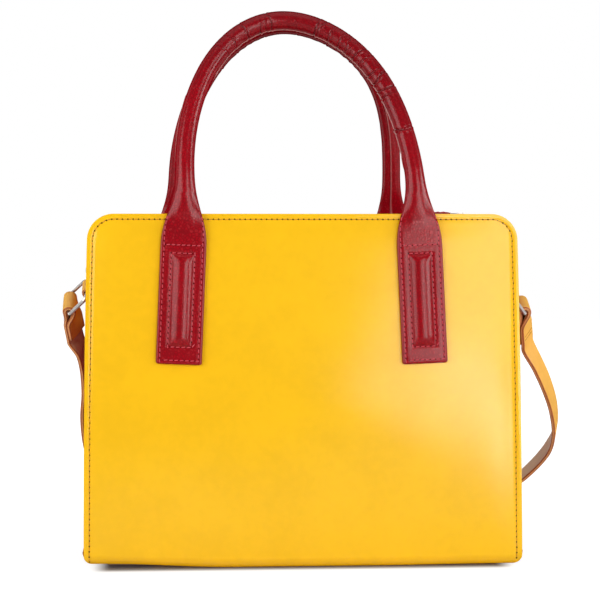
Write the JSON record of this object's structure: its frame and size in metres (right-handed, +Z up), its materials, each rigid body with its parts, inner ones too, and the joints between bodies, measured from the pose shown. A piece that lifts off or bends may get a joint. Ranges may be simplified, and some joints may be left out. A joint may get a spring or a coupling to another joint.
{
  "type": "satchel",
  "caption": "Structured leather satchel with a zipped top, rolled carrying handles sewn on by tabs, side rings and a shoulder strap.",
  "frame": {"origin": "middle of the base, on the surface the bag stands on", "axes": "+X to the right seen from the front, +Y towards the back panel, +Z up"},
  "size_m": [0.4027, 0.243, 0.4225],
  "materials": {
    "yellow_leather": "satin",
    "burgundy_leather": "satin",
    "strap_leather": "satin",
    "lining": "matte",
    "board": "matte",
    "padding": "matte",
    "zip_tape": "matte",
    "metal": "polished"
  },
  "bodies": {
    "bag": {"body_wrap": "yellow_leather", "left_gusset": "burgundy_leather", "right_gusset": "burgundy_leather", "front_stiffener": "board", "back_stiffener": "board", "base_board": "board", "lining_wrap": "lining", "left_lining": "lining", "right_lining": "lining", "left_zip_end_tape": "zip_tape", "right_zip_end_tape": "zip_tape", "left_zip_end_teeth": "metal", "right_zip_end_teeth": "metal", "left_zip_stop": "metal", "right_zip_stop": "metal", "front_facing": "burgundy_leather", "back_facing": "burgundy_leather", "front_left_tab": "burgundy_leather", "front_left_tab_filler": "padding", "front_right_tab": "burgundy_leather", "front_right_tab_filler": "padding", "back_left_tab": "burgundy_leather", "back_left_tab_filler": "padding", "back_right_tab": "burgundy_leather", "back_right_tab_filler": "padding", "left_chape": "strap_leather", "right_chape": "strap_leather", "left_strap_run": "strap_leather", "right_strap_run": "strap_leather"},
    "front_handle": {"front_handle_cover": "burgundy_leather", "front_handle_core": "padding"},
    "back_handle": {"back_handle_cover": "burgundy_leather", "back_handle_core": "padding"},
    "front_flap": {"front_zip_strip": "burgundy_leather", "front_zip_tape": "zip_tape", "front_zip_teeth": "metal"},
    "back_flap": {"back_zip_strip": "burgundy_leather", "back_zip_tape": "zip_tape", "back_zip_teeth": "metal"},
    "zip_slider": {"zip_slider": "metal"},
    "zip_pull": {"zip_pull_link": "metal", "zip_pull_tab": "burgundy_leather"},
    "left_ring": {"left_ring": "metal", "left_strap_end": "strap_leather"},
    "right_ring": {"right_ring": "metal", "right_strap_end": "strap_leather"}
  },
  "joints": [
    {"name": "front_handle_swing", "type": "hinge", "parent": "bag", "child": "front_handle", "pos_m": [0, -0.05399, 0.28406], "axis": [1, 0, 0], "range_deg": [0, 105]},
    {"name": "back_handle_swing", "type": "hinge", "parent": "bag", "child": "back_handle", "pos_m": [0, 0.05399, 0.28406], "axis": [-1, 0, 0], "range_deg": [0, 105]},
    {"name": "zip_slide", "type": "slide", "parent": "bag", "child": "zip_slider", "axis": [-1, 0, 0], "range_m": [0, 0.256]},
    {"name": "front_flap_fold", "type": "hinge", "parent": "bag", "child": "front_flap", "pos_m": [0, -0.04815, 0.2627], "axis": [-1, 0, 0], "range_deg": [0, 78]},
    {"name": "back_flap_fold", "type": "hinge", "parent": "bag", "child": "back_flap", "pos_m": [0, 0.04815, 0.2627], "axis": [1, 0, 0], "range_deg": [0, 78]},
    {"name": "zip_pull_flip", "type": "hinge", "parent": "zip_slider", "child": "zip_pull", "pos_m": [0.128, 0, 0.267], "axis": [0, 1, 0], "range_deg": [0, 175]},
    {"name": "left_ring_swing", "type": "hinge", "parent": "bag", "child": "left_ring", "pos_m": [-0.16549, 0, 0.209], "axis": [0, 0.766, 0.6428], "range_deg": [0, 115], "deforming": ["left_strap_run"]},
    {"name": "right_ring_swing", "type": "hinge", "parent": "bag", "child": "right_ring", "pos_m": [0.16539, 0, 0.209], "axis": [0, -0.8829, -0.4695], "range_deg": [0, 108], "deforming": ["right_strap_run"]}
  ],
  "couplings": [
    {"joint": "front_flap_fold", "follows": "zip_slide", "rad_per_m": 5.317},
    {"joint": "back_flap_fold", "follows": "zip_slide", "rad_per_m": 5.317}
  ]
}
